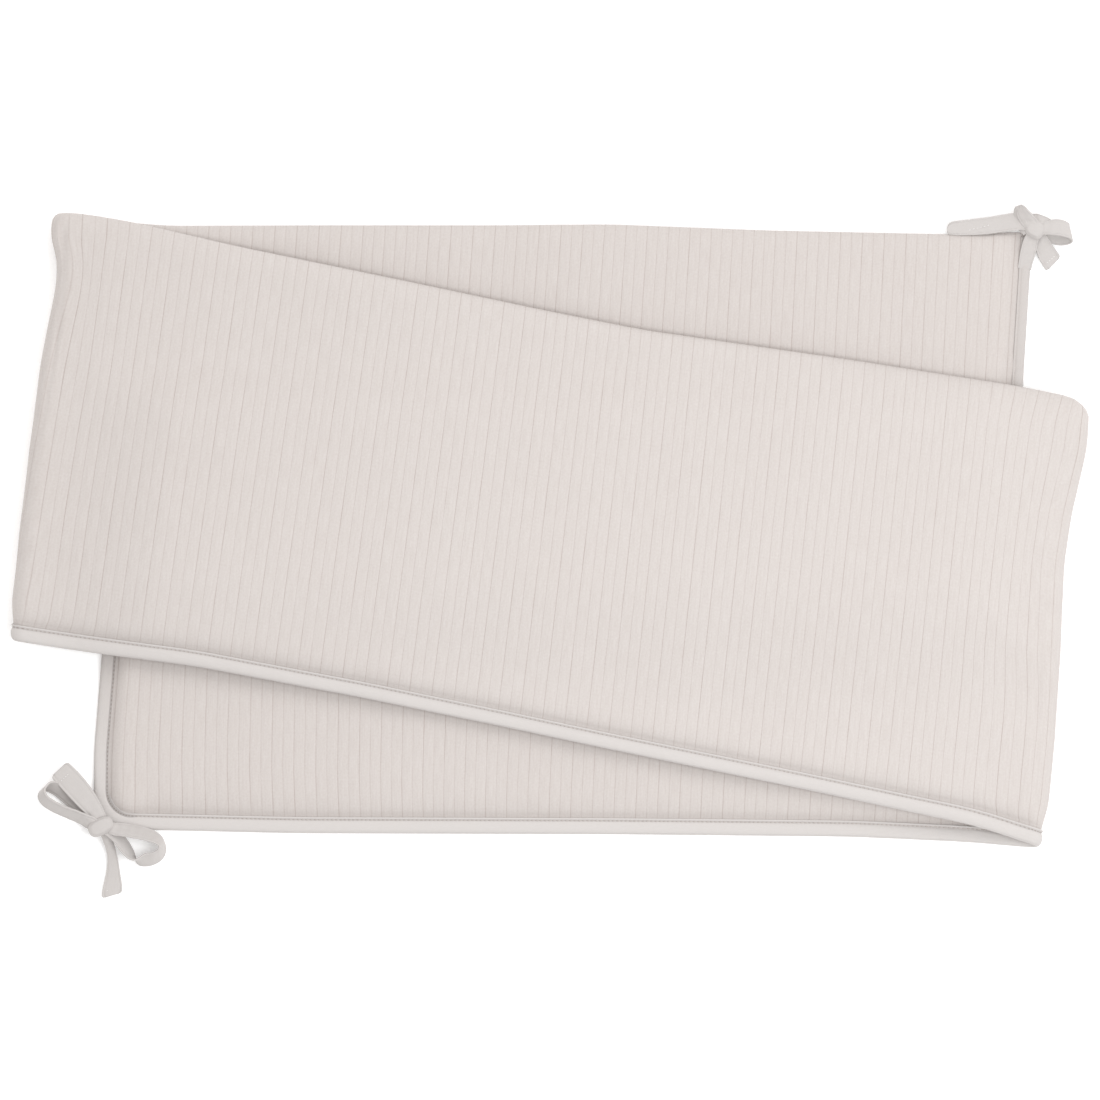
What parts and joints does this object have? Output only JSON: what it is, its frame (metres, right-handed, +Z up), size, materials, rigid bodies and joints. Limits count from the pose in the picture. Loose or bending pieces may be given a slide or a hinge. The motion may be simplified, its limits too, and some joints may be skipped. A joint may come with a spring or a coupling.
{
  "type": "folded crib bumper",
  "caption": "Padded strip for the inside of a cot, in ribbed knit with a bound edge, folded in three, with its corner ties tied in bows.",
  "frame": {"origin": "middle of the folded bumper's footprint, ties included, on the surface that it lies on", "axes": "+X along the folded strip's long side, +Y across it towards the plain edge of the middle layer, +Z up from the surface"},
  "size_m": [0.7539, 0.4843, 0.0384],
  "materials": {
    "ribbed_knit": "matt cotton jersey with drop-needle ribs",
    "binding_tape": "matt smooth jersey tape"
  },
  "bodies": {
    "root": {"bumper_pad": "ribbed_knit", "binding": "binding_tape", "tie_bow_left": "binding_tape", "tie_bow_right": "binding_tape"}
  },
  "joints": []
}
